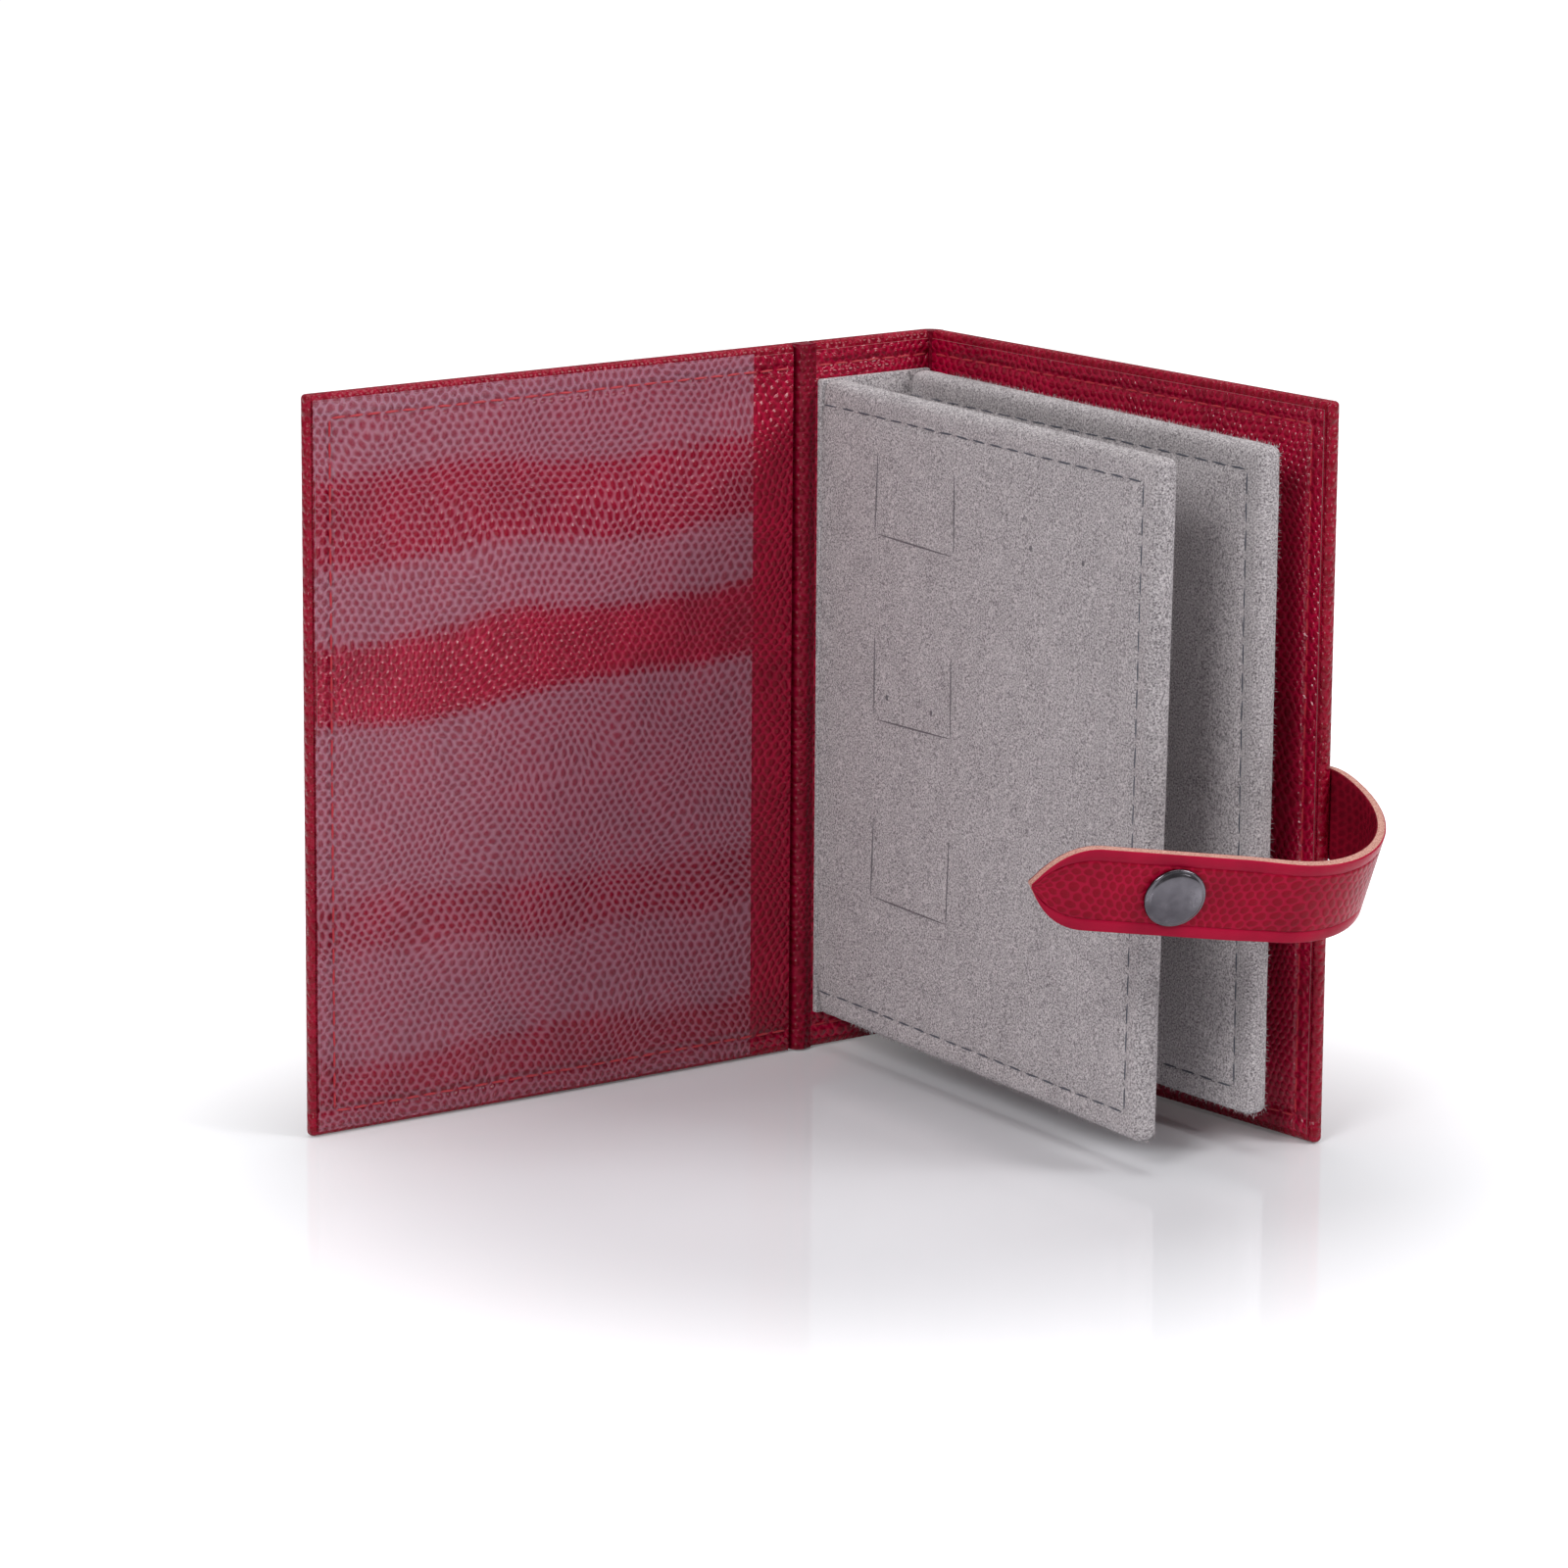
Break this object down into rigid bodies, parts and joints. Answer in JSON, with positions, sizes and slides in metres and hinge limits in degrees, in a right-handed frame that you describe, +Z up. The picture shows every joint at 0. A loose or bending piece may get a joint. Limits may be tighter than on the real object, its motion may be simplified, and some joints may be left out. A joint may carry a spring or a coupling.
{
  "type": "earring book",
  "caption": "Standing earring book: wrapped leatherette case that opens on soft folds, with felt leaves for earrings, a clear inner pocket and a curled strap with a press snap.",
  "frame": {"origin": "middle of the spine's bottom edge, on the floor and at mid thickness", "axes": "+Z up along the spine, +X along the spine from the front fold to the back fold, inside of the case towards -Y"},
  "size_m": [0.1662, 0.1529, 0.15],
  "materials": {
    "leatherette": "glossy deep crimson leatherette with a fine reptile grain",
    "greyboard": "plain stiff greyboard",
    "felt": "pale grey pressed felt with dark sewn borders",
    "clear_film": "clear soft vinyl film",
    "gunmetal": "dark gunmetal plating"
  },
  "bodies": {
    "spine": {"spine_board": "greyboard", "spine_skin": "leatherette", "spine_lining": "leatherette", "front_hinge": "leatherette", "back_hinge": "leatherette", "felt_spine": "felt"},
    "front_cover": {"front_board": "greyboard", "front_skin": "leatherette", "front_lining": "leatherette", "front_pocket": "clear_film", "snap_stud": "gunmetal", "snap_post": "gunmetal"},
    "back_cover": {"back_board": "greyboard", "back_skin": "leatherette", "back_lining": "leatherette", "strap_tab_outer": "leatherette", "strap_tab_lining": "leatherette"},
    "leaf_1": {"leaf_1_board": "greyboard", "leaf_1_front_felt": "felt", "leaf_1_rear_felt": "felt"},
    "leaf_2": {"leaf_2_board": "greyboard", "leaf_2_front_felt": "felt", "leaf_2_rear_felt": "felt"},
    "strap_curl": {"strap_curl_outer": "leatherette", "strap_curl_lining": "leatherette"},
    "strap_neck": {"strap_neck_outer": "leatherette", "strap_neck_lining": "leatherette"},
    "strap_tongue": {"strap_tongue_outer": "leatherette", "strap_tongue_lining": "leatherette", "snap_cap": "gunmetal", "snap_socket": "gunmetal", "snap_spring": "gunmetal"}
  },
  "joints": [
    {"name": "front_cover_fold", "type": "hinge", "parent": "spine", "child": "front_cover", "pos_m": [-0.0175, 0.001, 0.075], "axis": [0, 0, 1], "range_deg": [-30, 86.2], "deforming": ["front_hinge"]},
    {"name": "back_cover_fold", "type": "hinge", "parent": "spine", "child": "back_cover", "pos_m": [0.0175, 0.001, 0.075], "axis": [0, 0, -1], "range_deg": [-116, 2], "deforming": ["back_hinge"]},
    {"name": "leaf_1_turn", "type": "hinge", "parent": "spine", "child": "leaf_1", "pos_m": [-0.0116, -0.0057, 0.075], "axis": [0, 0, 1], "range_deg": [-83, 3]},
    {"name": "leaf_2_turn", "type": "hinge", "parent": "spine", "child": "leaf_2", "pos_m": [0.011, -0.0057, 0.075], "axis": [0, 0, 1], "range_deg": [-9, 1]},
    {"name": "strap_root_crease", "type": "hinge", "parent": "back_cover", "child": "strap_curl", "pos_m": [0.02646, -0.11988, 0.067], "axis": [-0.666, 0.0977, -0.7396], "range_deg": [-18, 31.41]},
    {"name": "strap_twist", "type": "hinge", "parent": "strap_curl", "child": "strap_neck", "pos_m": [-0.00722, -0.14386, 0.05858], "axis": [0.9446, -0.2988, -0.136], "range_deg": [-12, 3]},
    {"name": "strap_tip_crease", "type": "hinge", "parent": "strap_neck", "child": "strap_tongue", "pos_m": [-0.02221, -0.13912, 0.06074], "axis": [-0.0384, 0.3109, -0.9497], "range_deg": [-28.3, 49.39]}
  ],
  "couplings": [
    {"joint": "strap_tip_crease", "follows": "strap_root_crease", "ratio": 1.5724}
  ]
}
